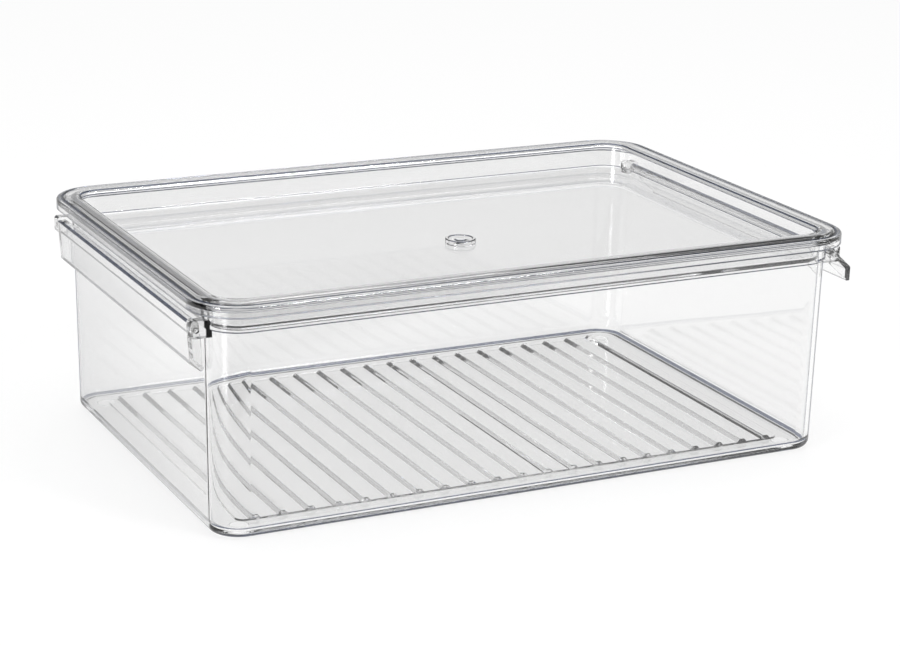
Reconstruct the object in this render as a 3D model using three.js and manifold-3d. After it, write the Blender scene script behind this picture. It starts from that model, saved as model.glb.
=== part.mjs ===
// Clear plastic storage box for a fridge: a drafted tub with a ribbed floor, a lift-off lid with a
// recessed panel, and a folding grip handle hinged on lugs at each end.
// Millimetres, +Z up. The origin is at the centre of the plane that the four feet stand on.
// X runs along the length and Y along the depth, with the front towards -Y.

import * as THREE from 'three';
import { ParametricGeometry } from 'three/addons/geometries/ParametricGeometry.js';
import { mergeVertices } from 'three/addons/utils/BufferGeometryUtils.js';
import Module from 'manifold-3d';

// Overall sizes of the closed box, without the handles
const LENGTH = 300;
const DEPTH = 205;
const HEIGHT = 100;

// Fits and wall thicknesses
const CLEARANCE = 0.3;
const WALL = 2;
const LID_WALL = 1.8;
const EMBED = 0.5;

// Plan outline: every rounded rectangle shares the lid's corner centres and lies inset from its edge
const LID_CORNER_RADIUS = 21.5;
const LID_OVERHANG = 6.9;
const CORNER_SEGMENTS = 8;
const WELD = 1e-4;

// Tub
const TUB_DRAFT = 1.5;
const COLLAR_PROUD = 0.6;
const COLLAR_HEIGHT = 11;
const BASE_FILLET = 3;
const INNER_FILLET = 3.5;
const EDGE_ROUND = 0.5;
const FILLET_SEGMENTS = 4;
const FOOT_HEIGHT = 0.8;
const FOOT_RADIUS = 4;

// Ribbed field of the floor
const FIELD_MARGIN_X = 21.4;
const FIELD_MARGIN_Y = 22.5;
const FIELD_RISE = 0.8;
const FIELD_CORNER_RADIUS = 4;
const RIB_PITCH = 12.15;
const RIB_WIDTH = 4.8;
const RIB_CREST = 2.2;
const RIB_RISE = 1.4;
const RIB_EDGE = 1.2;

// Lid
const LID_SKIRT_HEIGHT = 5.8;
const LID_RIM_THICKNESS = 2.2;
const LID_RECESS = 11.5;
const PLUG_TAPER = 0.3;
const PANEL_FILLET = 0.8;
const OUTER_BEAD = 1.3;
const OUTER_BEAD_DROP = 0.8;
const OUTER_BEAD_START = 60;
const GROOVE_DROP = 1.5;
const GATE_X = 1.7;
const GATE_Y = -13.5;
const GATE_RADIUS = 6.7;
const GATE_RIM_WIDTH = 1.5;
const GATE_RIM_HEIGHT = 2.2;
const GATE_NUB_RADIUS = 2.7;
const GATE_NUB_HEIGHT = 1.8;

// Folding handles and their hinge lugs
const HINGE_BELOW_LID = 7.3;
const HINGE_INSET = 2.2;
const HEAD_TOP = 3;
const HEAD_FOOT = 1.9;
const HEAD_DEPTH = 4.4;
const HEAD_ROUND = 1.2;
const HANDLE_FACE = 2.3;
const HANDLE_THICKNESS = 2;
const HANDLE_REACH = 14.5;
const HANDLE_LIP = 6.2;
const HANDLE_LIP_ANGLE = THREE.MathUtils.degToRad(48.5);
const HANDLE_END_WALL = 1.6;
const HANDLE_END_DEPTH = 5.4;
const HANDLE_END_START = 5.6;
const HANDLE_CLOSED_LEAN = THREE.MathUtils.degToRad(4);
const HANDLE_OPEN_SWING = THREE.MathUtils.degToRad(52);
const PIN_RADIUS = 1;
const PIN_LENGTH = 3.2;
const LUG_WALL = 1.1;
const LUG_ABOVE = 4;
const LUG_BELOW = 3.1;
const LUG_ROUND = 1.2;
const LUG_THICKNESS = 4.8;
const LUG_PAST_CORNER = 6.1;
const ROUND_SEGMENTS = 24;

// Levels and insets worked out from the sizes above
const tubTop = HEIGHT - LID_RIM_THICKNESS - CLEARANCE;
const floorUnder = FOOT_HEIGHT;
const floorTop = FOOT_HEIGHT + WALL;
const skirtBottom = HEIGHT - LID_SKIRT_HEIGHT;
const panelTop = HEIGHT - LID_RECESS;
const panelUnder = panelTop - LID_WALL;
const collarBottom = tubTop - COLLAR_HEIGHT;
const plugBottom = innerInset(panelUnder) + CLEARANCE + PLUG_TAPER;
const cornerX = LENGTH / 2 - LID_CORNER_RADIUS;
const cornerY = DEPTH / 2 - LID_CORNER_RADIUS;
const hingeX = LENGTH / 2 - HINGE_INSET;
const hingeZ = skirtBottom - HINGE_BELOW_LID;
const lugEnd = cornerY + LUG_PAST_CORNER;
const lugStart = lugEnd - LUG_THICKNESS;
const handleEnd = lugStart - CLEARANCE;
const boreRadius = PIN_RADIUS + CLEARANCE;
const lugFace = boreRadius + LUG_WALL;

const wasm = await Module();
wasm.setup();

// Keeps only positions, joins shared vertices and drops the slivers that collapse at a point.
function solid(geometry) {
  const bare = geometry.index ? geometry.toNonIndexed() : geometry.clone();
  bare.deleteAttribute('normal');
  bare.deleteAttribute('uv');
  const merged = mergeVertices(bare, WELD);
  const corners = merged.index.array;
  const triVerts = [];
  for (let i = 0; i < corners.length; i += 3) {
    const [a, b, c] = corners.subarray(i, i + 3);
    if (a !== b && b !== c && c !== a) {
      triVerts.push(a, b, c);
    }
  }
  const mesh = new wasm.Mesh({
    numProp: 3,
    vertProperties: new Float32Array(merged.attributes.position.array),
    triVerts: new Uint32Array(triVerts),
  });
  return new wasm.Manifold(mesh);
}

function toGeometry(manifold) {
  const mesh = manifold.getMesh();
  const geometry = new THREE.BufferGeometry();
  geometry.setAttribute('position', new THREE.BufferAttribute(mesh.vertProperties, 3));
  geometry.setIndex(new THREE.BufferAttribute(mesh.triVerts, 1));
  geometry.computeVertexNormals();
  return geometry;
}

// Corner arcs of the plan outline, anticlockwise, as corner signs and outward directions.
function outline() {
  const corners = [[1, 1], [-1, 1], [-1, -1], [1, -1]];
  return corners.flatMap(([sideX, sideY], quadrant) => {
    const steps = Array.from({ length: CORNER_SEGMENTS + 1 }, (_, step) => step / CORNER_SEGMENTS);
    return steps.map((share) => {
      const angle = (quadrant + share) * Math.PI / 2;
      return { sideX, sideY, outX: Math.cos(angle), outY: Math.sin(angle) };
    });
  });
}

const plan = outline();

// A point of the plan outline, moved in from the lid's edge. Past the corner centre it turns sharp.
function planPoint({ sideX, sideY, outX, outY }, inset) {
  const radius = Math.max(LID_CORNER_RADIUS - inset, 0);
  const x = sideX * (LENGTH / 2 - inset - radius) + outX * radius;
  const y = sideY * (DEPTH / 2 - inset - radius) + outY * radius;
  return new THREE.Vector2(x, y);
}

// Sweeps a closed section of (inset, height) points around the plan outline. The section starts at
// its innermost edge below, runs up the inner side, over the top and down the outer side.
function ring(section) {
  const place = (u, v, target) => {
    const { x: inset, y: height } = section[Math.round(u * section.length) % section.length];
    const { x, y } = planPoint(plan[Math.round(v * plan.length) % plan.length], inset);
    target.set(x, y, height);
  };
  return solid(new ParametricGeometry(place, section.length, plan.length));
}

function roundedRectangle(halfX, halfY, radius) {
  const shape = new THREE.Shape();
  shape.absarc(halfX - radius, halfY - radius, radius, 0, Math.PI / 2);
  shape.absarc(radius - halfX, halfY - radius, radius, Math.PI / 2, Math.PI);
  shape.absarc(radius - halfX, radius - halfY, radius, Math.PI, 1.5 * Math.PI);
  shape.absarc(halfX - radius, radius - halfY, radius, 1.5 * Math.PI, 2 * Math.PI);
  return shape;
}

function slab(shape, bottom, top) {
  const geometry = new THREE.ExtrudeGeometry(shape, {
    depth: top - bottom,
    bevelEnabled: false,
    curveSegments: CORNER_SEGMENTS / 2,
  });
  return solid(geometry.translate(0, 0, bottom));
}

// A slab over the plan outline, inset by the given distance.
function planSlab(inset, bottom, top) {
  return slab(new THREE.Shape(plan.map((corner) => planPoint(corner, inset))), bottom, top);
}

// A shape drawn in X and Z, extruded along Y between two places.
function alongY(shape, from, to) {
  const geometry = new THREE.ExtrudeGeometry(shape, {
    depth: Math.abs(to - from),
    bevelEnabled: false,
    curveSegments: ROUND_SEGMENTS / 2,
  });
  return geometry.rotateX(Math.PI / 2).translate(0, Math.max(from, to), 0);
}

function cylinderAlongY(radius, from, to) {
  const geometry = new THREE.CylinderGeometry(radius, radius, Math.abs(to - from), ROUND_SEGMENTS);
  return geometry.translate(0, (from + to) / 2, 0);
}

function cylinderAlongZ(radius, bottom, top) {
  const geometry = new THREE.CylinderGeometry(radius, radius, top - bottom, ROUND_SEGMENTS);
  return geometry.rotateX(Math.PI / 2).translate(0, 0, (bottom + top) / 2);
}

// Points of a circular arc in (inset, height), from one angle to another in degrees.
function arc(centreInset, centreHeight, radius, fromAngle, toAngle) {
  const points = [];
  for (let step = 0; step <= FILLET_SEGMENTS; step += 1) {
    const degrees = THREE.MathUtils.lerp(fromAngle, toAngle, step / FILLET_SEGMENTS);
    const angle = THREE.MathUtils.degToRad(degrees);
    const inset = centreInset + radius * Math.cos(angle);
    points.push(new THREE.Vector2(inset, centreHeight + radius * Math.sin(angle)));
  }
  return points;
}

// Tub wall: the outer face leans in towards the base, and the inner face keeps the wall thickness.
function outerInset(height) {
  return LID_OVERHANG + TUB_DRAFT * (1 - height / tubTop);
}

function innerInset(height) {
  return outerInset(height) + WALL;
}

function tubSection() {
  const baseInset = outerInset(floorUnder + BASE_FILLET) + BASE_FILLET;
  const cornerInset = innerInset(floorTop + INNER_FILLET) + INNER_FILLET;
  const collarInset = LID_OVERHANG - COLLAR_PROUD;
  const floorEdge = cornerInset + EMBED;
  const innerTop = innerInset(tubTop);
  return [
    new THREE.Vector2(floorEdge, floorUnder),
    new THREE.Vector2(floorEdge, floorTop),
    ...arc(cornerInset, floorTop + INNER_FILLET, INNER_FILLET, 270, 180),
    ...arc(innerTop - EDGE_ROUND, tubTop - EDGE_ROUND, EDGE_ROUND, 0, 90),
    ...arc(collarInset + EDGE_ROUND, tubTop - EDGE_ROUND, EDGE_ROUND, 90, 180),
    new THREE.Vector2(collarInset, collarBottom + COLLAR_PROUD),
    new THREE.Vector2(outerInset(collarBottom), collarBottom),
    ...arc(baseInset, floorUnder + BASE_FILLET, BASE_FILLET, 180, 270),
  ];
}

// Ribbed field: a ribbed profile run along the depth and trimmed to a rounded rectangle. It holds as
// many ribs to each side of the middle as fit.
function ribbedField() {
  const halfX = LENGTH / 2 - FIELD_MARGIN_X;
  const halfY = DEPTH / 2 - FIELD_MARGIN_Y;
  const top = floorTop + FIELD_RISE;
  const crest = top + RIB_RISE;
  const last = Math.floor((halfX - RIB_EDGE - RIB_WIDTH / 2) / RIB_PITCH);
  const profile = new THREE.Shape();
  profile.moveTo(halfX + EMBED, floorUnder);
  profile.lineTo(halfX + EMBED, top);
  for (let index = last; index >= -last; index -= 1) {
    const middle = index * RIB_PITCH;
    profile.lineTo(middle + RIB_WIDTH / 2, top);
    profile.lineTo(middle + RIB_CREST / 2, crest);
    profile.lineTo(middle - RIB_CREST / 2, crest);
    profile.lineTo(middle - RIB_WIDTH / 2, top);
  }
  profile.lineTo(-halfX - EMBED, top);
  profile.lineTo(-halfX - EMBED, floorUnder);
  const sheet = solid(alongY(profile, -halfY - EMBED, halfY + EMBED));
  const outline = roundedRectangle(halfX, halfY, FIELD_CORNER_RADIUS);
  return sheet.intersect(slab(outline, floorTop - EMBED, crest + EMBED));
}

function feet() {
  const foot = cylinderAlongZ(FOOT_RADIUS, 0, floorUnder + EMBED);
  const places = [[1, 1], [-1, 1], [-1, -1], [1, -1]];
  return places.map(([sideX, sideY]) => {
    return solid(foot.clone().translate(sideX * cornerX, sideY * cornerY, 0));
  });
}

// Hinge lug: a block with rounded outer edges, rooted in the tub's corner wall, with a blind hole for
// the handle's pin.
function lug(side, turn) {
  const root = LENGTH / 2 - innerInset(hingeZ) + CLEARANCE - hingeX;
  const shape = new THREE.Shape();
  shape.moveTo(root, -LUG_BELOW);
  shape.lineTo(lugFace - LUG_ROUND, -LUG_BELOW);
  shape.quadraticCurveTo(lugFace, -LUG_BELOW, lugFace, LUG_ROUND - LUG_BELOW);
  shape.lineTo(lugFace, LUG_ABOVE - LUG_ROUND);
  shape.quadraticCurveTo(lugFace, LUG_ABOVE, lugFace - LUG_ROUND, LUG_ABOVE);
  shape.lineTo(root, LUG_ABOVE);
  const arm = alongY(shape, side * lugStart, side * lugEnd);
  const holeEnd = handleEnd + PIN_LENGTH + CLEARANCE;
  const hole = cylinderAlongY(boreRadius, side * (lugStart - EMBED), side * holeEnd);
  const seat = (geometry) => solid(geometry.translate(hingeX, 0, hingeZ).rotateZ(turn));
  return seat(arm).subtract(seat(hole));
}

function lugs() {
  return [0, Math.PI].flatMap((turn) => [lug(-1, turn), lug(1, turn)]);
}

function tub() {
  const floorInset = innerInset(floorTop + INNER_FILLET) + INNER_FILLET;
  const pieces = [
    planSlab(floorInset, floorUnder, floorTop),
    ribbedField(),
    ...feet(),
    ...lugs(),
  ];
  return pieces.reduce((whole, piece) => whole.add(piece), ring(tubSection()));
}

// Lid rim: outer bead, groove and main crest above, and a skirt and a plug wall below.
function lidSection() {
  const plugTop = innerInset(tubTop) + CLEARANCE;
  const plugInner = plugTop + LID_WALL;
  const filletInset = plugBottom + LID_WALL + PANEL_FILLET;
  const panelEdge = filletInset + EMBED;
  const rimUnder = HEIGHT - LID_RIM_THICKNESS;
  const beadTop = HEIGHT - OUTER_BEAD_DROP;
  const grooveInset = 2 * OUTER_BEAD;
  const crestRadius = LID_RIM_THICKNESS;
  const crestOuter = grooveInset + crestRadius;
  const crestInner = plugInner - crestRadius;
  const filletHeight = panelTop + PANEL_FILLET;
  return [
    new THREE.Vector2(panelEdge, panelUnder),
    new THREE.Vector2(panelEdge, panelTop),
    ...arc(filletInset, filletHeight, PANEL_FILLET, 270, 180),
    ...arc(crestInner, HEIGHT - crestRadius, crestRadius, 0, 90),
    new THREE.Vector2(crestOuter, HEIGHT),
    new THREE.Vector2(grooveInset + OUTER_BEAD / 2, beadTop),
    new THREE.Vector2(grooveInset, HEIGHT - GROOVE_DROP),
    ...arc(OUTER_BEAD, beadTop - OUTER_BEAD, OUTER_BEAD, OUTER_BEAD_START, 180),
    new THREE.Vector2(0, skirtBottom),
    new THREE.Vector2(LID_WALL, skirtBottom),
    new THREE.Vector2(LID_WALL, rimUnder - OUTER_BEAD),
    new THREE.Vector2(crestOuter, rimUnder),
    new THREE.Vector2(plugTop, rimUnder),
    ...arc(plugBottom + LID_WALL, panelUnder + LID_WALL, LID_WALL, 180, 270),
  ];
}

// Gate mark near the middle of the panel: a low round rim with a nub inside it.
function gateMark() {
  const root = panelTop - EMBED;
  const inner = GATE_RADIUS - GATE_RIM_WIDTH;
  const middle = GATE_RADIUS - GATE_RIM_WIDTH / 2;
  const rim = [
    new THREE.Vector2(inner, root),
    new THREE.Vector2(GATE_RADIUS, root),
    new THREE.Vector2(GATE_RADIUS, panelTop + GATE_RIM_HEIGHT - EDGE_ROUND),
    new THREE.Vector2(middle, panelTop + GATE_RIM_HEIGHT),
    new THREE.Vector2(inner, panelTop + GATE_RIM_HEIGHT - EDGE_ROUND),
    new THREE.Vector2(inner, root),
  ];
  const nub = [
    new THREE.Vector2(0, root),
    new THREE.Vector2(GATE_NUB_RADIUS, root),
    new THREE.Vector2(GATE_NUB_RADIUS, panelTop + GATE_NUB_HEIGHT - EDGE_ROUND),
    new THREE.Vector2(GATE_NUB_RADIUS - EDGE_ROUND, panelTop + GATE_NUB_HEIGHT),
    new THREE.Vector2(0, panelTop + GATE_NUB_HEIGHT),
  ];
  return [rim, nub].map((profile) => {
    const geometry = new THREE.LatheGeometry(profile, ROUND_SEGMENTS);
    return solid(geometry.rotateX(Math.PI / 2).translate(GATE_X, GATE_Y, 0));
  });
}

function lid() {
  const panel = planSlab(plugBottom + LID_WALL + PANEL_FILLET, panelUnder, panelTop);
  return gateMark().reduce((whole, piece) => whole.add(piece), ring(lidSection()).add(panel));
}

// Handle section about the hinge axis, hanging straight down with its outer face towards +X: a thick
// head round the axis, a thin plate below it and a lip turned in along the plate's foot.
function handleSection() {
  const inner = HANDLE_FACE - HANDLE_THICKNESS;
  const back = HANDLE_FACE - HEAD_DEPTH;
  const lipX = -Math.sin(HANDLE_LIP_ANGLE);
  const lipZ = -Math.cos(HANDLE_LIP_ANGLE);
  const knee = new THREE.Vector2(HANDLE_FACE, -HANDLE_REACH);
  const tip = new THREE.Vector2(knee.x + HANDLE_LIP * lipX, knee.y + HANDLE_LIP * lipZ);
  const tipInner = new THREE.Vector2(tip.x + HANDLE_THICKNESS * lipZ, tip.y - HANDLE_THICKNESS * lipX);
  const kneeInner = knee.y + HANDLE_THICKNESS * Math.tan(HANDLE_LIP_ANGLE / 2);
  const shape = new THREE.Shape();
  shape.moveTo(HANDLE_FACE, HEAD_TOP - EDGE_ROUND);
  shape.lineTo(HANDLE_FACE, knee.y + EDGE_ROUND);
  shape.quadraticCurveTo(knee.x, knee.y, knee.x + EDGE_ROUND * lipX, knee.y + EDGE_ROUND * lipZ);
  shape.lineTo(tip.x, tip.y);
  shape.lineTo(tipInner.x, tipInner.y);
  shape.lineTo(inner, kneeInner);
  shape.lineTo(inner, -HEAD_FOOT);
  shape.lineTo(back, -HEAD_FOOT);
  shape.lineTo(back, HEAD_TOP - HEAD_ROUND);
  shape.quadraticCurveTo(back, HEAD_TOP, back + HEAD_ROUND, HEAD_TOP);
  shape.lineTo(HANDLE_FACE - EDGE_ROUND, HEAD_TOP);
  shape.quadraticCurveTo(HANDLE_FACE, HEAD_TOP, HANDLE_FACE, HEAD_TOP - EDGE_ROUND);
  return shape;
}

// End wall of the handle, closing the hollow between its plate and its lip.
function handleEndShape() {
  const depth = HANDLE_FACE - HANDLE_END_DEPTH;
  const back = HANDLE_FACE - HEAD_DEPTH;
  const tipX = HANDLE_FACE - HANDLE_LIP * Math.sin(HANDLE_LIP_ANGLE);
  const tipZ = -HANDLE_REACH - HANDLE_LIP * Math.cos(HANDLE_LIP_ANGLE);
  const plateMiddle = HANDLE_FACE - HANDLE_THICKNESS / 2;
  const shape = new THREE.Shape();
  shape.moveTo(plateMiddle, -HEAD_FOOT / 2);
  shape.lineTo(back + EDGE_ROUND, -HEAD_FOOT / 2);
  shape.lineTo(depth, -HANDLE_END_START);
  shape.lineTo(depth, -HANDLE_REACH);
  shape.lineTo(tipX - EDGE_ROUND, tipZ + HANDLE_THICKNESS);
  shape.lineTo(plateMiddle, -HANDLE_REACH);
  return shape;
}

function handle() {
  const wallStart = handleEnd - HANDLE_END_WALL;
  const pinEnd = handleEnd + PIN_LENGTH;
  const ends = [-1, 1].flatMap((side) => [
    alongY(handleEndShape(), side * wallStart, side * handleEnd),
    cylinderAlongY(PIN_RADIUS, side * wallStart, side * pinEnd),
  ]);
  const plate = solid(alongY(handleSection(), -handleEnd, handleEnd));
  return ends.reduce((whole, end) => whole.add(solid(end)), plate);
}

function clearPlastic() {
  return new THREE.MeshStandardMaterial({
    color: 0xe9ebed,
    roughness: 0.06,
    metalness: 0,
    transparent: true,
    opacity: 0.35,
  });
}

function named(name, manifold) {
  const mesh = new THREE.Mesh(toGeometry(manifold), clearPlastic());
  mesh.name = name;
  return mesh;
}

// A handle on its hinge axis, swung out from the closed rest against the wall.
function hungHandle(name, swing) {
  const hinge = new THREE.Group();
  hinge.position.set(hingeX, 0, hingeZ);
  hinge.rotation.y = HANDLE_CLOSED_LEAN - swing;
  hinge.add(named(name, handle()));
  return hinge;
}

const box = new THREE.Group();
box.add(named('tub', tub()));
box.add(named('lid', lid()));

const rightEnd = new THREE.Group();
rightEnd.add(hungHandle('right_handle', HANDLE_OPEN_SWING));
box.add(rightEnd);

const leftEnd = new THREE.Group();
leftEnd.rotation.z = Math.PI;
leftEnd.add(hungHandle('left_handle', 0));
box.add(leftEnd);

export default box;
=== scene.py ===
import math

import bmesh
import bpy
from mathutils import Matrix, Vector


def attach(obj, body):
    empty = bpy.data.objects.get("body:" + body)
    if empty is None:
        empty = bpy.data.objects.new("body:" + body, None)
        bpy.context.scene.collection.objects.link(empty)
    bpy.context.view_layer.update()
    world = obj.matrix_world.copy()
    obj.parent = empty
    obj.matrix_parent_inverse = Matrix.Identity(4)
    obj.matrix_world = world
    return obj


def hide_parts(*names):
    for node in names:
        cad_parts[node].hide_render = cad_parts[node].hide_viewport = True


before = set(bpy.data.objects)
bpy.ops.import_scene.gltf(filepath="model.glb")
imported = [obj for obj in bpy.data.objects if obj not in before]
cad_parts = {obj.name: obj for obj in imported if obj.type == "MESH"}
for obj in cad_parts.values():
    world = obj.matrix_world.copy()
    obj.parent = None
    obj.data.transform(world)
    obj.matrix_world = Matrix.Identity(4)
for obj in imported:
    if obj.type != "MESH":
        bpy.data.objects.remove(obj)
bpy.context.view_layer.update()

# Tub. A deep box injection moulded in clear styrene, open above, with drafted walls, a ribbed floor
# and four round feet. Its wall section is drawn once and swept round a rounded rectangle, and the
# ribs, feet and hinge lugs are moulded in one with it.

MM = 0.001
LENGTH = 300
DEPTH = 205
LID_CORNER_RADIUS = 21.5
CORNER_X = LENGTH / 2 - LID_CORNER_RADIUS
CORNER_Y = DEPTH / 2 - LID_CORNER_RADIUS
CORNER_STEPS = 24
FILLET_STEPS = 8
CLEARANCE = 0.3
EMBED = 0.5
NEAR = 0.01
SHARP_ANGLE = math.radians(28)

WALL = 2
TUB_TOP = 97.5
TUB_INSET = 6.9
TUB_DRAFT = 1.5
FLOOR_UNDER = 0.8
FLOOR_TOP = FLOOR_UNDER + WALL
COLLAR_BOTTOM = 86.5
COLLAR_PROUD = 0.6
STEP_ROUND = 0.15
EDGE_ROUND = 0.5
BASE_FILLET = 3
INNER_FILLET = 3.5
FLOOR_EDGE = 14.5


def outer_inset(height):
    """Distance of the tub's outer wall from the lid's edge, in plan."""
    return TUB_INSET + TUB_DRAFT * (1 - height / TUB_TOP)


def put_down():
    """Closes the piece that is open for editing and deselects everything."""
    if bpy.context.edit_object:
        bpy.ops.object.mode_set(mode="OBJECT")
    bpy.ops.object.select_all(action="DESELECT")


def take_up(piece):
    """Makes one piece the only selected one."""
    put_down()
    bpy.context.view_layer.objects.active = piece
    piece.select_set(True)


def pick(kind, test):
    """Selects the vertices, edges or faces that pass the test, and nothing else."""
    bpy.ops.mesh.select_mode(type=kind)
    bpy.ops.mesh.select_all(action="DESELECT")
    cage = bmesh.from_edit_mesh(bpy.context.edit_object.data)
    for part in {"VERT": cage.verts, "EDGE": cage.edges, "FACE": cage.faces}[kind]:
        if test(part):
            part.select_set(True)
    bmesh.update_edit_mesh(bpy.context.edit_object.data)


def middle(edge):
    """The middle of an edge in millimetres."""
    return (edge.verts[0].co + edge.verts[1].co) / 2 / MM


def along(edge, axis):
    """True if the edge runs along the axis."""
    span = edge.verts[1].co - edge.verts[0].co
    return abs(abs(span[axis]) - span.length) < NEAR * span.length


def round_off(test, size, steps=FILLET_STEPS):
    """Rounds the edges that pass the test."""
    pick("EDGE", test)
    bpy.ops.mesh.bevel(offset=size * MM, segments=steps)


def start(name):
    """Names the primitive just added, puts its place in its mesh and opens it for editing."""
    piece = bpy.context.object
    piece.name = name
    piece.data.name = name
    bpy.ops.object.transform_apply(location=True, rotation=True, scale=True)
    bpy.ops.object.mode_set(mode="EDIT")
    bpy.ops.mesh.select_mode(type="VERT")
    bpy.ops.mesh.select_all(action="SELECT")
    return piece


def draw_section(name, corners):
    """Draws an open line of (inset, height, rounding) corners in the plane y = 0, rounded."""
    put_down()
    first = corners[0]
    place = ((LENGTH / 2 - first[0]) * MM, 0, first[1] * MM)
    bpy.ops.mesh.primitive_plane_add(size=MM, location=place)
    piece = start(name)
    bpy.ops.mesh.merge(type="CENTER")
    for before, after in zip(corners, corners[1:]):
        step = ((before[0] - after[0]) * MM, 0, (after[1] - before[1]) * MM)
        bpy.ops.mesh.extrude_region_move(TRANSFORM_OT_translate={"value": step})
    for inset, height, rounding in corners:
        if rounding:
            x, z = LENGTH / 2 - inset, height
            pick("VERT", lambda v: math.hypot(v.co.x / MM - x, v.co.z / MM - z) < NEAR)
            bpy.ops.mesh.bevel(
                offset=rounding * MM, segments=FILLET_STEPS, affect="VERTICES", clamp_overlap=False)
    return piece


def sweep_round(piece):
    """Sweeps the drawn section round a quarter of the box and mirrors the quarter twice."""
    bpy.ops.mesh.select_all(action="SELECT")
    bpy.ops.mesh.extrude_region_move(TRANSFORM_OT_translate={"value": (0, CORNER_Y * MM, 0)})
    bpy.ops.mesh.spin(
        steps=CORNER_STEPS, angle=-math.pi / 2, axis=(0, 0, 1),
        center=(CORNER_X * MM, CORNER_Y * MM, 0))
    bpy.ops.mesh.extrude_region_move(TRANSFORM_OT_translate={"value": (-CORNER_X * MM, 0, 0)})
    bpy.ops.object.mode_set(mode="OBJECT")
    bpy.ops.object.modifier_add(type="MIRROR")
    mirror = piece.modifiers[-1]
    mirror.use_axis = (True, True, False)
    mirror.merge_threshold = NEAR * MM
    bpy.ops.object.modifier_apply(modifier=mirror.name)
    bpy.ops.object.mode_set(mode="EDIT")


def close_up(*heights):
    """Fills the open loop of edges at each height with a flat face and turns all faces outwards."""
    for height in heights:
        pick("EDGE", lambda e: e.is_boundary and abs(middle(e).z - height) < NEAR)
        bpy.ops.mesh.edge_face_add()
    bpy.ops.mesh.select_all(action="SELECT")
    bpy.ops.mesh.normals_make_consistent(inside=False)
    bpy.ops.object.mode_set(mode="OBJECT")


def mould_on(piece, tool, operation="UNION"):
    """Joins another solid to the piece, or cuts it away, and drops the tool."""
    take_up(piece)
    bpy.ops.object.modifier_add(type="BOOLEAN")
    join = piece.modifiers[-1]
    join.operation = operation
    join.object = tool
    join.solver = "EXACT"
    bpy.ops.object.modifier_apply(modifier=join.name)
    bpy.data.objects.remove(tool)


def polish(piece):
    """Smooths the fillets and keeps the flat faces flat right up to them."""
    take_up(piece)
    bpy.ops.object.shade_smooth_by_angle(angle=SHARP_ANGLE)
    bpy.ops.object.modifier_add(type="WEIGHTED_NORMAL")
    flats = piece.modifiers[-1]
    flats.mode = "FACE_AREA"
    flats.keep_sharp = True
    bpy.ops.object.modifier_apply(modifier=flats.name)


tub = draw_section("clear_tub", [
    (FLOOR_EDGE, FLOOR_UNDER, 0),
    (outer_inset(FLOOR_UNDER), FLOOR_UNDER, BASE_FILLET),
    (outer_inset(COLLAR_BOTTOM), COLLAR_BOTTOM, STEP_ROUND),
    (TUB_INSET - COLLAR_PROUD, COLLAR_BOTTOM + COLLAR_PROUD, STEP_ROUND),
    (TUB_INSET - COLLAR_PROUD, TUB_TOP, EDGE_ROUND),
    (TUB_INSET + WALL, TUB_TOP, EDGE_ROUND),
    (outer_inset(FLOOR_TOP) + WALL, FLOOR_TOP, INNER_FILLET),
    (FLOOR_EDGE, FLOOR_TOP, 0),
])
sweep_round(tub)
close_up(FLOOR_UNDER, FLOOR_TOP)

FIELD_MARGIN_X = 21.4
FIELD_MARGIN_Y = 22.5
FIELD_RISE = 0.8
FIELD_CORNER_RADIUS = 4
FIELD_ROUND = 0.25


def block(name, low, high):
    """A cube primitive between two corners in millimetres, open for editing."""
    put_down()
    centre = [(a + b) / 2 * MM for a, b in zip(low, high)]
    bpy.ops.mesh.primitive_cube_add(size=1, location=centre)
    bpy.context.object.scale = [(b - a) * MM for a, b in zip(low, high)]
    return start(name)


def upright(edge):
    """True if the edge runs along Z."""
    return along(edge, 2)


field_x = LENGTH / 2 - FIELD_MARGIN_X
field_y = DEPTH / 2 - FIELD_MARGIN_Y
field_top = FLOOR_TOP + FIELD_RISE
field = block("floor_field", (-field_x, -field_y, FLOOR_TOP - EMBED), (field_x, field_y, field_top))
round_off(upright, FIELD_CORNER_RADIUS)
round_off(lambda e: middle(e).z > field_top - NEAR and not upright(e), FIELD_ROUND, 3)
mould_on(tub, field)

RIB_COUNT = 21
RIB_PITCH = 12.15
RIB_WIDTH = 4.8
RIB_CREST = 2.2
RIB_RISE = 1.4
RIB_ROUND = 0.35
RIB_STOP = 0.05
FACES_DOWN = -0.95
rib_y = field_y - RIB_STOP
rib_x = -(RIB_COUNT - 1) / 2 * RIB_PITCH
rib_top = field_top + RIB_RISE
ribs = block(
    "floor_ribs", (rib_x - RIB_WIDTH / 2, -rib_y, field_top), (rib_x + RIB_WIDTH / 2, rib_y, rib_top))
pick("VERT", lambda v: v.co.z > (rib_top - NEAR) * MM)
bpy.ops.transform.resize(
    value=(RIB_CREST / RIB_WIDTH, 1, 1), center_override=(rib_x * MM, 0, rib_top * MM))
pick("FACE", lambda f: f.normal.z < FACES_DOWN)
bpy.ops.mesh.extrude_region_move(TRANSFORM_OT_translate={"value": (0, 0, -EMBED * MM)})
round_off(lambda e: middle(e).z > rib_top - NEAR, RIB_ROUND, 4)
bpy.ops.object.mode_set(mode="OBJECT")
bpy.ops.object.modifier_add(type="ARRAY")
row = ribs.modifiers[-1]
row.count = RIB_COUNT
row.use_relative_offset = False
row.use_constant_offset = True
row.constant_offset_displace = (RIB_PITCH * MM, 0, 0)
bpy.ops.object.modifier_apply(modifier=row.name)
mould_on(tub, ribs)

FOOT_RADIUS = 4
FOOT_ROUND = 0.25
ROUND_STEPS = 48


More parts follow.
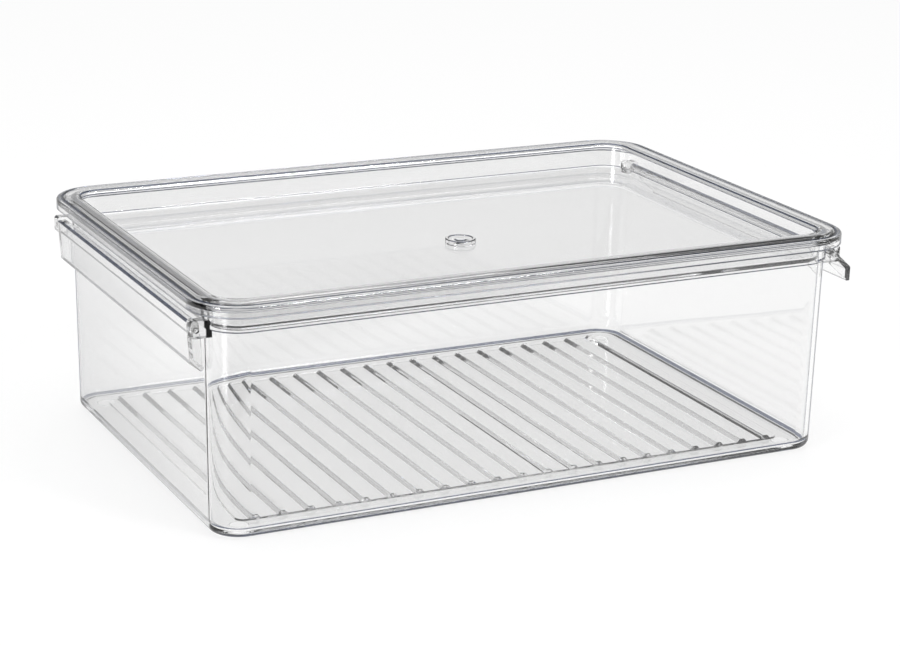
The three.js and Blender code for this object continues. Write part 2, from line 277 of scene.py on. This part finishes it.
def rod(name, radius, low, high, axis="Z"):
    """A cylinder primitive between two points on its axis in millimetres, open for editing."""
    put_down()
    turn = {"Z": (0, 0, 0), "Y": (math.pi / 2, 0, 0)}[axis]
    bpy.ops.mesh.primitive_cylinder_add(
        vertices=ROUND_STEPS, radius=radius * MM, depth=math.dist(low, high) * MM,
        location=[(a + b) / 2 * MM for a, b in zip(low, high)], rotation=turn)
    return start(name)


for side_x in (-1, 1):
    for side_y in (-1, 1):
        x, y = side_x * CORNER_X, side_y * CORNER_Y
        foot = rod("foot", FOOT_RADIUS, (x, y, 0), (x, y, FLOOR_UNDER + EMBED))
        round_off(lambda e: middle(e).z < NEAR, FOOT_ROUND, 3)
        mould_on(tub, foot)

HINGE_X = 147.8
HINGE_Z = 86.9
PIN_RADIUS = 1
PIN_LENGTH = 3.2
LUG_THICKNESS = 4.8
LUG_WALL = 1.1
LUG_ABOVE = 4
LUG_BELOW = 3.1
LUG_ROUND = 1.2
LUG_PAST_CORNER = 6.1
LUG_END = CORNER_Y + LUG_PAST_CORNER
LUG_START = LUG_END - LUG_THICKNESS
HANDLE_END = LUG_START - CLEARANCE
BORE_RADIUS = PIN_RADIUS + CLEARANCE
LUG_FACE = HINGE_X + BORE_RADIUS + LUG_WALL
LUG_ROOT = LENGTH / 2 - outer_inset(HINGE_Z) - WALL + CLEARANCE

for end in (-1, 1):
    for side in (-1, 1):
        near, far = sorted((end * LUG_ROOT, end * LUG_FACE))
        low, high = sorted((side * LUG_START, side * LUG_END))
        lug = block(
            "hinge_lug", (near, low, HINGE_Z - LUG_BELOW), (far, high, HINGE_Z + LUG_ABOVE))
        round_off(lambda e: along(e, 1) and end * middle(e).x > HINGE_X, LUG_ROUND)
        bpy.ops.object.mode_set(mode="OBJECT")
        inner = side * (LUG_START - EMBED)
        outer = side * (HANDLE_END + PIN_LENGTH + CLEARANCE)
        bore = rod(
            "pin_hole", BORE_RADIUS, (end * HINGE_X, inner, HINGE_Z), (end * HINGE_X, outer, HINGE_Z),
            axis="Y")
        mould_on(lug, bore, operation="DIFFERENCE")
        mould_on(tub, lug)


# Clear styrene: general purpose polystyrene from a polished mould, colourless and glassy. Broad faint
# waves of the melt front bend what shows through the walls, and fine handling scuffs dull the gloss.
# Narrow edges and faces seen edge on are painted a dark shade, standing in for the dark surroundings
# that clear plastic shows there.

def linear(hex_colour):
    """An sRGB hex colour as linear red, green, blue and alpha."""
    parts = [int(hex_colour[i:i + 2], 16) / 255 for i in (1, 3, 5)]
    return [c / 12.92 if c <= 0.04045 else ((c + 0.055) / 1.055) ** 2.4 for c in parts] + [1]


def add(tree, kind, settings=None, values=(), **sockets):
    """Adds a node with its settings, and sets or links its inputs in order or by name."""
    made = tree.nodes.new(kind)
    for name, value in (settings or {}).items():
        setattr(made, name, value)
    named = [(made.inputs[name.replace("_", " ")], value) for name, value in sockets.items()]
    for socket, value in [*zip(made.inputs, values), *named]:
        if isinstance(value, bpy.types.NodeSocket):
            tree.links.new(value, socket)
        else:
            socket.default_value = value
    return made


STYRENE_IOR = 1.57
WAVE_SIZE = 60
WAVE_DEPTH = 2
WAVE_STRENGTH = 0.03
SCUFF_SIZE = 3
SCUFF_RANGE = (0.45, 0.8)
SCUFF_ROUGHNESS = 0.03
# Steep faces seen edge on are painted from the tint towards a dark shade between these facing levels.
PAINTED_SHADE_START = 0.68
PAINTED_SHADE_FULL = 0.78
LEVEL_RELIEF = -0.25
BODY_TINT = "#fbfbfb"
# Painted dark shade for the narrow edge faces.
RIM_PAINTED_SHADE = "#1d2438"
# The painted dark shade that faces seen edge on turn to.
GRAZE_PAINTED_SHADE = "#0c142a"


def clear_styrene(name, tint=BODY_TINT):
    """Clear plastic of one tint, which for the edge material is a painted dark shade. Steep faces seen
    edge on get a darker painted shade.
    """
    material = bpy.data.materials.new(name)
    material.use_nodes = True
    tree = material.node_tree
    tree.nodes.clear()
    place = add(tree, "ShaderNodeTexCoord").outputs["Object"]
    wave = add(tree, "ShaderNodeTexNoise", Vector=place, Scale=1 / (WAVE_SIZE * MM), Detail=1.0)
    bump = add(
        tree, "ShaderNodeBump", Height=wave.outputs["Fac"], Strength=WAVE_STRENGTH,
        Distance=WAVE_DEPTH * MM)
    scuff = add(tree, "ShaderNodeTexNoise", Vector=place, Scale=1 / (SCUFF_SIZE * MM), Detail=4.0)
    dull = add(
        tree, "ShaderNodeMapRange", Value=scuff.outputs["Fac"], From_Min=SCUFF_RANGE[0],
        From_Max=SCUFF_RANGE[1], To_Min=0.0, To_Max=SCUFF_ROUGHNESS)
    graze = add(tree, "ShaderNodeLayerWeight", Blend=0.5)
    shape = add(tree, "ShaderNodeNewGeometry")
    lie = add(tree, "ShaderNodeSeparateXYZ", Vector=shape.outputs["Normal"])
    level = add(tree, "ShaderNodeMath", {"operation": "ABSOLUTE"}, [lie.outputs["Z"]])
    steep = add(
        tree, "ShaderNodeMath", {"operation": "MULTIPLY_ADD"},
        [level.outputs["Value"], LEVEL_RELIEF, graze.outputs["Facing"]])
    front = add(tree, "ShaderNodeMath", {"operation": "SUBTRACT"}, [1.0, shape.outputs["Backfacing"]])
    outer = add(
        tree, "ShaderNodeMath", {"operation": "MULTIPLY"},
        [steep.outputs["Value"], front.outputs["Value"]])
    # Painted dark shade on steep outer faces seen edge on.
    edge = add(tree, "ShaderNodeValToRGB", Fac=outer.outputs["Value"])
    stops = ((PAINTED_SHADE_START, tint), (PAINTED_SHADE_FULL, GRAZE_PAINTED_SHADE))
    for stop, (position, colour) in zip(edge.color_ramp.elements, stops):
        stop.position = position
        stop.color = linear(colour)
    plastic = add(
        tree, "ShaderNodeBsdfPrincipled", Base_Color=edge.outputs["Color"], IOR=STYRENE_IOR,
        Roughness=dull.outputs["Result"], Transmission_Weight=1.0, Normal=bump.outputs["Normal"])
    add(tree, "ShaderNodeOutputMaterial", Surface=plastic.outputs["BSDF"])
    return material


def plan_inset(spot):
    """How far a point lies inside the lid's edge, in plan."""
    past_x, past_y = max(abs(spot.x) - CORNER_X, 0), max(abs(spot.y) - CORNER_Y, 0)
    return LID_CORNER_RADIUS - math.hypot(past_x, past_y)


def give(piece, body, painted_shade, test):
    """Gives the piece its body material, and the material painted with dark shade to the faces that pass
    the test.
    """
    take_up(piece)
    piece.data.materials.clear()
    piece.data.materials.append(body)
    piece.data.materials.append(painted_shade)
    bpy.ops.object.mode_set(mode="EDIT")
    bpy.ops.mesh.select_all(action="SELECT")
    piece.active_material_index = 0
    bpy.ops.object.material_slot_assign()
    pick("FACE", lambda f: test(f.calc_center_median() / MM, f.normal))
    piece.active_material_index = 1
    bpy.ops.object.material_slot_assign()
    bpy.ops.object.mode_set(mode="OBJECT")


# Where the tub's faces are painted with dark shade.
TOP_EDGE = 0.6
STEP_MARGIN = 0.2
BASE_EDGE = 1.6
LEANS_DOWN = -0.3


def tub_painted_rim(spot, normal):
    """The faces painted with dark shade: the top edge, the collar's step and the rounded outer edge of
    the base.
    """
    if spot.z > TUB_TOP - TOP_EDGE:
        return True
    if plan_inset(spot) > outer_inset(0) + BASE_FILLET or normal.z > LEANS_DOWN:
        return False
    step = -STEP_MARGIN < spot.z - COLLAR_BOTTOM < COLLAR_PROUD + STEP_MARGIN
    return step or spot.z < FLOOR_UNDER + BASE_EDGE and normal.z > FACES_DOWN


clear = clear_styrene("clear_styrene")
# The edge material is clear plastic painted a dark shade.
painted_edge_shade = clear_styrene("clear_styrene_painted_shade", RIM_PAINTED_SHADE)
give(tub, clear, painted_edge_shade, tub_painted_rim)
polish(tub)
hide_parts("tub")
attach(tub, "tub")

# Lid. A loose lid moulded in the same clear styrene: a beaded rim whose skirt hangs outside the tub,
# a plug wall that drops inside it and a flat panel sunk between them. The small ring near the middle
# is the mark of the mould's gate.

LID_WALL = 1.8
HEIGHT = 100
SKIRT_BOTTOM = 94.2
RIM_UNDER = HEIGHT - 2.2
RIM_SLOPE = 1.3
RIM_ROUNDS = (0.3, 0.5)
CREST_EDGE = 4.8
CREST_ROUNDS = (2.2, 0.7)
BEAD_TOP = 99.2
BEAD_ROUNDS = (0.4, 1.2)
GROOVE_BOTTOM = 98.5
GROOVE_SIDES = (1.6, 3.25)
GROOVE_MIDDLE = 2.6
GROOVE_ROUND = 0.3
SKIRT_ROUND = 0.35
PLUG_ROUNDS = (0.6, 1.8)
PANEL_FILLET = 0.8
PANEL_TOP = 88.5
PANEL_UNDER = PANEL_TOP - LID_WALL
PLUG_TOP = TUB_INSET + WALL + CLEARANCE
PLUG_BOTTOM = outer_inset(PANEL_UNDER) + WALL + 2 * CLEARANCE
PANEL_EDGE = PLUG_BOTTOM + LID_WALL + PANEL_FILLET + EMBED

lid = draw_section("clear_lid", [
    (PANEL_EDGE, PANEL_TOP, 0),
    (PLUG_BOTTOM + LID_WALL, PANEL_TOP, PANEL_FILLET),
    (PLUG_TOP + LID_WALL, HEIGHT, CREST_ROUNDS[0]),
    (CREST_EDGE, HEIGHT, CREST_ROUNDS[1]),
    (GROOVE_SIDES[1], BEAD_TOP, GROOVE_ROUND),
    (GROOVE_MIDDLE, GROOVE_BOTTOM, GROOVE_ROUND),
    (GROOVE_SIDES[0], BEAD_TOP, BEAD_ROUNDS[0]),
    (0, BEAD_TOP, BEAD_ROUNDS[1]),
    (0, SKIRT_BOTTOM, SKIRT_ROUND),
    (LID_WALL, SKIRT_BOTTOM, SKIRT_ROUND),
    (LID_WALL, RIM_UNDER - RIM_SLOPE, RIM_ROUNDS[0]),
    (CREST_EDGE, RIM_UNDER, RIM_ROUNDS[1]),
    (PLUG_TOP, RIM_UNDER, PLUG_ROUNDS[0]),
    (PLUG_BOTTOM, PANEL_UNDER, PLUG_ROUNDS[1]),
    (PANEL_EDGE, PANEL_UNDER, 0),
])
sweep_round(lid)
close_up(PANEL_UNDER, PANEL_TOP)

GATE_X = 1.7
GATE_Y = -13.5
GATE_RADIUS = 6.7
GATE_RIM_WIDTH = 1.5
GATE_RIM_RISE = 2.2
GATE_RIM_ROUND = 0.5
GATE_NUB_RADIUS = 2.7
GATE_NUB_RISE = 1.8
GATE_NUB_ROUND = 0.6


def gate_rod(name, radius, sunk, rise):
    """A cylinder on the gate's axis, from below the panel's top to above it."""
    return rod(name, radius, (GATE_X, GATE_Y, PANEL_TOP - sunk), (GATE_X, GATE_Y, PANEL_TOP + rise))


gate = gate_rod("gate_ring", GATE_RADIUS, EMBED, GATE_RIM_RISE)
well = gate_rod("gate_well", GATE_RADIUS - GATE_RIM_WIDTH, 2 * EMBED, 2 * GATE_RIM_RISE)
mould_on(gate, well, operation="DIFFERENCE")
bpy.ops.object.mode_set(mode="EDIT")
round_off(
    lambda e: middle(e).z > PANEL_TOP + GATE_RIM_RISE - NEAR and len(e.link_faces) == 2
    and abs(e.calc_face_angle(0)) > 1, GATE_RIM_ROUND, 5)
mould_on(lid, gate)
nub = gate_rod("gate_nub", GATE_NUB_RADIUS, EMBED, GATE_NUB_RISE)
round_off(lambda e: middle(e).z > PANEL_TOP + GATE_NUB_RISE - NEAR, GATE_NUB_ROUND, 5)
mould_on(lid, nub)

# Where the lid's faces are painted with dark shade.
PAINTED_SHADE_MARGIN = 0.1
GROOVE_PAINTED_SHADE = (2.1, 3.2)
SHOULDER_PAINTED_SHADE = (0.5, 0.84)
SHOULDER_START = 9
BEVEL_PAINTED_SHADE = (0.2, 0.9)
SKIRT_PAINTED_SHADE = (0.4, 2.5)


def lid_painted_rim(spot, normal):
    """The faces painted with dark shade: the gate's ring, the groove, the inner shoulder of the crest
    and the foot of the skirt.
    """
    inset = plan_inset(spot)
    gate_reach = math.hypot(spot.x - GATE_X, spot.y - GATE_Y)
    if gate_reach < GATE_RADIUS + PAINTED_SHADE_MARGIN and spot.z > PANEL_TOP + PAINTED_SHADE_MARGIN:
        return BEVEL_PAINTED_SHADE[0] < normal.z < BEVEL_PAINTED_SHADE[1]
    if spot.z > GROOVE_BOTTOM - PAINTED_SHADE_MARGIN and GROOVE_PAINTED_SHADE[0] < inset < GROOVE_PAINTED_SHADE[1]:
        return True
    if spot.z > RIM_UNDER and inset > SHOULDER_START:
        return SHOULDER_PAINTED_SHADE[0] < normal.z < SHOULDER_PAINTED_SHADE[1]
    return spot.z < SKIRT_BOTTOM + SKIRT_PAINTED_SHADE[0] and inset < SKIRT_PAINTED_SHADE[1]


give(lid, clear, painted_edge_shade, lid_painted_rim)
polish(lid)
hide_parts("lid")
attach(lid, "lid")

# Folding handles. Two like mouldings of clear styrene, one at each end: a thick head along the hinge,
# a plate that hangs from it, a lip turned in along the plate's foot and a wall at each end. Pins on
# the ends snap into the tub's lugs. The left one hangs closed, the right one is swung out.

HEAD_TOP = 3
HEAD_FOOT = 1.9
HEAD_DEPTH = 4.4
HEAD_ROUND = 1.2
HEAD_EDGE = 1.5
HANDLE_FACE = 2.3
HANDLE_THICKNESS = 2
HANDLE_REACH = 14.5
HANDLE_LIP = 6.2
HANDLE_LIP_ANGLE = math.radians(48.5)
HANDLE_END_WALL = 1.6
HANDLE_END_DEPTH = 5.4
HANDLE_END_START = 5.6
HANDLE_ROUND = 0.4
PIN_ROUND = 0.3
CLOSED_LEAN = math.radians(4)
OPEN_SWING = math.radians(52)


def draw_face(name, y, corners):
    """A flat face through (x, z) corners about the hinge axis, at one place along it."""
    put_down()
    x, z = corners[0]
    bpy.ops.mesh.primitive_plane_add(
        size=MM, location=((HINGE_X + x) * MM, y * MM, (HINGE_Z + z) * MM))
    piece = start(name)
    bpy.ops.mesh.merge(type="CENTER")
    for before, after in zip(corners, corners[1:]):
        step = ((after[0] - before[0]) * MM, 0, (after[1] - before[1]) * MM)
        bpy.ops.mesh.extrude_region_move(TRANSFORM_OT_translate={"value": step})
    bpy.ops.mesh.select_all(action="SELECT")
    bpy.ops.mesh.edge_face_add()
    return piece


def pull(depth):
    """Extrudes the drawn face along the hinge axis into a solid that faces outwards."""
    bpy.ops.mesh.select_all(action="SELECT")
    bpy.ops.mesh.extrude_region_move(TRANSFORM_OT_translate={"value": (0, depth * MM, 0)})
    bpy.ops.mesh.select_all(action="SELECT")
    bpy.ops.mesh.normals_make_consistent(inside=False)


plate_inner = HANDLE_FACE - HANDLE_THICKNESS
head_back = HANDLE_FACE - HEAD_DEPTH
lip_x, lip_z = -math.sin(HANDLE_LIP_ANGLE), -math.cos(HANDLE_LIP_ANGLE)
tip = (HANDLE_FACE + HANDLE_LIP * lip_x, -HANDLE_REACH + HANDLE_LIP * lip_z)
tip_inner = (tip[0] + HANDLE_THICKNESS * lip_z, tip[1] - HANDLE_THICKNESS * lip_x)
knee_inner = -HANDLE_REACH + HANDLE_THICKNESS * math.tan(HANDLE_LIP_ANGLE / 2)
handle = draw_face("folding_handle", -HANDLE_END, [
    (HANDLE_FACE, HEAD_TOP), (HANDLE_FACE, -HANDLE_REACH), tip, tip_inner, (plate_inner, knee_inner),
    (plate_inner, -HEAD_FOOT), (head_back, -HEAD_FOOT), (head_back, HEAD_TOP),
    (HANDLE_FACE - HEAD_EDGE, HEAD_TOP)])
pull(2 * HANDLE_END)
round_off(
    lambda e: along(e, 1) and middle(e).z > HINGE_Z + HEAD_TOP - NEAR and middle(e).x < HINGE_X,
    HEAD_ROUND)
round_off(
    lambda e: along(e, 1) and (middle(e).x > HINGE_X + 2 or middle(e).z < HINGE_Z - 1),
    HANDLE_ROUND, 4)
bpy.ops.object.mode_set(mode="OBJECT")
hollow = HANDLE_FACE - HANDLE_END_DEPTH
plate_middle = HANDLE_FACE - HANDLE_THICKNESS / 2
for side in (-1, 1):
    wall = draw_face("handle_end", side * HANDLE_END, [
        (plate_middle, -HEAD_FOOT / 2), (head_back + EMBED, -HEAD_FOOT / 2), (hollow, -HANDLE_END_START),
        (hollow, -HANDLE_REACH), (tip[0] - EMBED, tip[1] + HANDLE_THICKNESS),
        (plate_middle, -HANDLE_REACH)])
    pull(-side * HANDLE_END_WALL)
    mould_on(handle, wall)
    pin = rod(
        "hinge_pin", PIN_RADIUS, (HINGE_X, side * (HANDLE_END - HANDLE_END_WALL), HINGE_Z),
        (HINGE_X, side * (HANDLE_END + PIN_LENGTH), HINGE_Z), axis="Y")
    round_off(lambda e: side * middle(e).y > HANDLE_END + PIN_LENGTH - NEAR, PIN_ROUND, 3)
    mould_on(handle, pin)


def head_painted_rim(spot, normal):
    """The strip along the outer edge of the head's top, painted with dark shade."""
    return spot.z > HINGE_Z + HEAD_TOP - EDGE_ROUND and spot.x > HINGE_X + HANDLE_FACE - HEAD_EDGE


give(handle, clear, painted_edge_shade, head_painted_rim)
take_up(handle)
bpy.ops.object.duplicate()
left_handle = bpy.context.selected_objects[0]

for piece, name, swing, turn in (
        (left_handle, "left_handle", 0, math.pi), (handle, "right_handle", OPEN_SWING, 0)):
    piece.name = "clear_" + name
    piece.data.name = piece.name
    take_up(piece)
    bpy.ops.object.mode_set(mode="EDIT")
    bpy.ops.mesh.select_all(action="SELECT")
    bpy.ops.transform.rotate(
        value=swing - CLOSED_LEAN, orient_axis="Y", center_override=(HINGE_X * MM, 0, HINGE_Z * MM))
    bpy.ops.transform.rotate(value=turn, orient_axis="Z", center_override=(0, 0, 0))
    polish(piece)
    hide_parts(name)
    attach(piece, name)

# Studio. A wide pale table under three soft lamps, and the camera at the photograph's angle. To the
# camera the table and the air are white. The plastic shows the table white too, but for a part in front
# of the box painted in shade and dimmer air on the camera's side, which draw its edges.

TABLE_SIZE = 60
TABLE_TONE = "#f2f2f2"
TABLE_ROUGHNESS = 0.3
TABLE_GLOSS = 0.3
WHITE = "#ffffff"
VIEW_TURN = math.radians(26.5)
SHADE_EDGE = -0.24
SHADE_SOFT = 0.05
SHADE_TONE = 0.25
GLOW_SHARE = 0.8

put_down()
bpy.ops.mesh.primitive_plane_add(size=TABLE_SIZE, location=(0, 0, 0))
table = bpy.context.object
table.name = "table"
table_paint = bpy.data.materials.new("pale_table")
table_paint.use_nodes = True
tree = table_paint.node_tree
tree.nodes.clear()
path = add(tree, "ShaderNodeLightPath")
spot = add(tree, "ShaderNodeTexCoord")
turned = add(
    tree, "ShaderNodeVectorRotate", {"rotation_type": "Z_AXIS"}, Vector=spot.outputs["Object"],
    Angle=VIEW_TURN)
along_view = add(tree, "ShaderNodeSeparateXYZ", Vector=turned.outputs["Vector"])
# In front of the box the table is painted in shade for glossy and transmission rays, which the plastic
# shows as dark edges.
pale_zone = add(
    tree, "ShaderNodeMapRange", {"interpolation_type": "SMOOTHSTEP"}, Value=along_view.outputs["Y"],
    From_Min=SHADE_EDGE - SHADE_SOFT, From_Max=SHADE_EDGE)
glassy = add(
    tree, "ShaderNodeMath", {"operation": "MAXIMUM"},
    [path.outputs["Is Glossy Ray"], path.outputs["Is Transmission Ray"]])
inside = add(
    tree, "ShaderNodeMath", {"operation": "MULTIPLY"}, [glassy.outputs[0], pale_zone.outputs["Result"]])
seen = add(
    tree, "ShaderNodeMath", {"operation": "MAXIMUM"},
    [path.outputs["Is Camera Ray"], inside.outputs[0]])
share = add(tree, "ShaderNodeMath", {"operation": "MULTIPLY"}, [seen.outputs[0], GLOW_SHARE])
shown = add(
    tree, "ShaderNodeMath", {"operation": "MAXIMUM"},
    [path.outputs["Is Camera Ray"], pale_zone.outputs["Result"]])
tone = add(
    tree, "ShaderNodeMapRange", Value=shown.outputs[0], To_Min=SHADE_TONE,
    To_Max=linear(TABLE_TONE)[0])
paint = add(
    tree, "ShaderNodeBsdfPrincipled", Base_Color=tone.outputs["Result"], Roughness=TABLE_ROUGHNESS)
paint.inputs["Specular IOR Level"].default_value = TABLE_GLOSS
glow = add(tree, "ShaderNodeEmission", Color=linear(WHITE), Strength=1.0)
mix = add(
    tree, "ShaderNodeMixShader", None,
    [share.outputs[0], paint.outputs["BSDF"], glow.outputs["Emission"]])
add(tree, "ShaderNodeOutputMaterial", Surface=mix.outputs["Shader"])
table.data.materials.append(table_paint)

SKY_STOPS = ((0, 0.1), (0.45, 0.12), (0.62, 0.5), (0.8, 0.62), (1, 0.62))
world = bpy.data.worlds.new("studio")
bpy.context.scene.world = world
world.use_nodes = True
tree = world.node_tree
tree.nodes.clear()
sky = add(tree, "ShaderNodeTexCoord")
toward = add(
    tree, "ShaderNodeVectorMath", {"operation": "DOT_PRODUCT"},
    [sky.outputs["Generated"], (math.sin(VIEW_TURN), math.cos(VIEW_TURN), 0)])
ahead = add(
    tree, "ShaderNodeMath", {"operation": "MULTIPLY_ADD"}, [toward.outputs["Value"], 0.5, 0.5])
ramp = add(tree, "ShaderNodeValToRGB", Fac=ahead.outputs[0])
while len(ramp.color_ramp.elements) < len(SKY_STOPS):
    ramp.color_ramp.elements.new(0.5)
for stop, (position, level) in zip(ramp.color_ramp.elements, SKY_STOPS):
    stop.position = position
    stop.color = (level, level, level, 1)
path = add(tree, "ShaderNodeLightPath")
air = add(tree, "ShaderNodeBackground", Color=ramp.outputs["Color"], Strength=1.0)
white = add(tree, "ShaderNodeBackground", Color=linear(WHITE), Strength=1.0)
mix = add(
    tree, "ShaderNodeMixShader", None,
    [path.outputs["Is Camera Ray"], air.outputs["Background"], white.outputs["Background"]])
add(tree, "ShaderNodeOutputWorld", Surface=mix.outputs["Shader"])

LAMP_AIM = (0, 0, 0.05)


def softbox(name, place, size, power):
    """A square area lamp that faces the box."""
    bpy.ops.object.light_add(type="AREA", location=place)
    lamp = bpy.context.object
    lamp.name = name
    lamp.data.size = size
    lamp.data.energy = power
    away = Vector(place) - Vector(LAMP_AIM)
    lamp.rotation_euler = away.to_track_quat("Z", "Y").to_euler()


softbox("top_light", (0, 0.2, 3), 3.6, 90)
softbox("left_light", (-1.3, -0.6, 0.45), 0.35, 14)
softbox("right_light", (0.55, -1.1, 1), 0.3, 12)

CAMERA_PLACE = (-0.4569, -0.9252, 0.3665)
CAMERA_RIGHT = (0.89769, -0.44012, 0.02124)
CAMERA_UP = (0.11157, 0.27366, 0.95533)
CAMERA_BACK = (-0.42627, -0.85522, 0.29477)
SENSOR_WIDTH = 36
LENS = 96.88
bpy.ops.object.camera_add()
camera = bpy.context.object
camera.data.sensor_fit = "HORIZONTAL"
camera.data.sensor_width = SENSOR_WIDTH
camera.data.lens = LENS
turn = Matrix((CAMERA_RIGHT, CAMERA_UP, CAMERA_BACK)).transposed().to_4x4()
camera.matrix_world = Matrix.Translation(CAMERA_PLACE) @ turn
bpy.context.scene.camera = camera

scene = bpy.context.scene
scene.view_settings.view_transform = "Standard"
scene.cycles.max_bounces = 32
scene.cycles.transmission_bounces = 32
scene.cycles.glossy_bounces = 16
scene.cycles.transparent_max_bounces = 16
